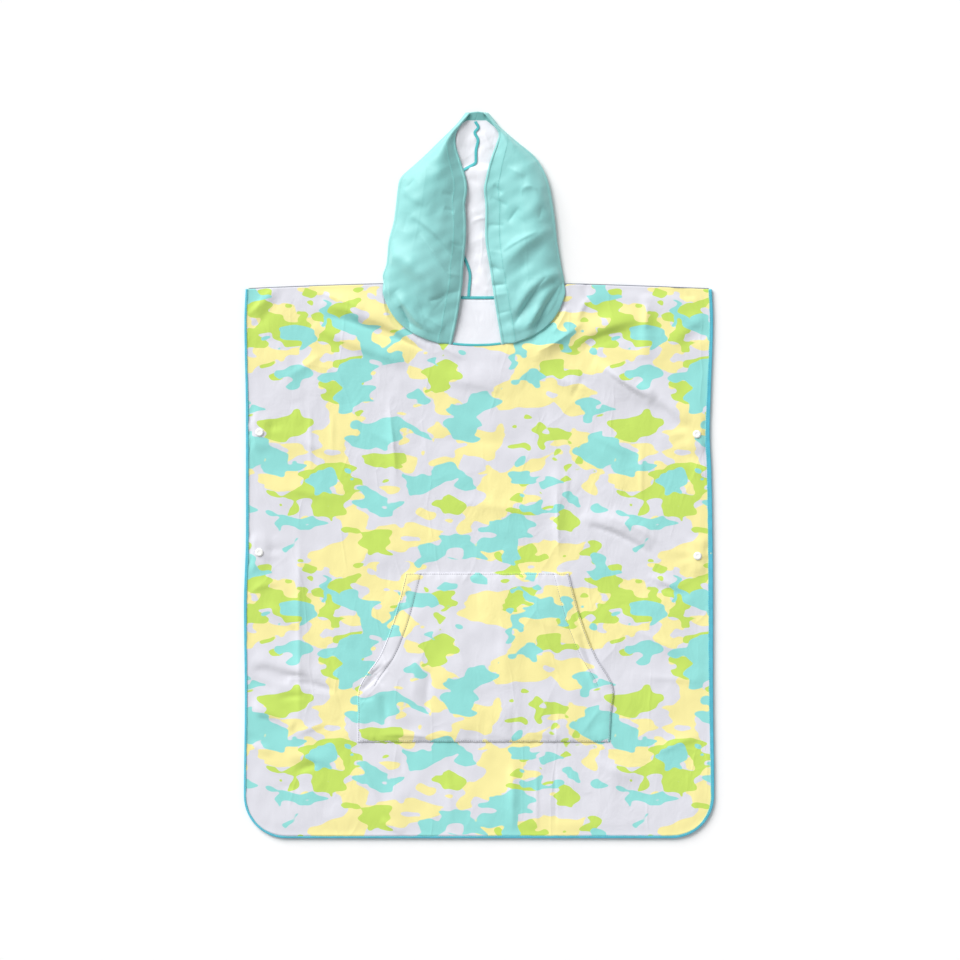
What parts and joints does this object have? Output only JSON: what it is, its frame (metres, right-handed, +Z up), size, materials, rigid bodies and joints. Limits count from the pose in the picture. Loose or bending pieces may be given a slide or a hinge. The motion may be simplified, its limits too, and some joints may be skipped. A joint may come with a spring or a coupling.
{
  "type": "child's hooded bath poncho, laid flat",
  "caption": "Child's hooded bath poncho laid flat: camouflage front and back with bound edges, a front pocket, side snaps and a plain hood folded in.",
  "frame": {"origin": "on the table, under the middle of the garment's box", "axes": "+X to the right of the front as seen from above, +Y from the hem to the hood, +Z up off the table"},
  "size_m": [0.6112, 0.944, 0.0224],
  "materials": {
    "camouflage_cloth": "thin brushed towelling printed with pastel camouflage, plain white inside",
    "hood_cloth": "thin brushed towelling in plain turquoise, white inside",
    "binding": "folded bias binding in blue-green, one row of stitches",
    "seam_tape": "woven seam tape in blue-green",
    "snap_plastic": "white moulded plastic snap caps"
  },
  "bodies": {
    "root": {"back_panel": "camouflage_cloth", "front_panel": "camouflage_cloth", "pocket": "camouflage_cloth", "binding_back_left": "binding", "binding_back_hem": "binding", "binding_back_right": "binding", "binding_front_left": "binding", "binding_front_hem": "binding", "binding_front_right": "binding", "hood_left": "hood_cloth", "hood_right": "hood_cloth", "hood_seam_tape_upper": "seam_tape", "hood_seam_tape_lower": "seam_tape", "back_neck_tape": "seam_tape", "front_neck_tape": "seam_tape", "snap_front_upper_left": "snap_plastic", "snap_back_upper_left": "snap_plastic", "snap_front_lower_left": "snap_plastic", "snap_back_lower_left": "snap_plastic", "snap_front_upper_right": "snap_plastic", "snap_back_upper_right": "snap_plastic", "snap_front_lower_right": "snap_plastic", "snap_back_lower_right": "snap_plastic"}
  },
  "joints": []
}
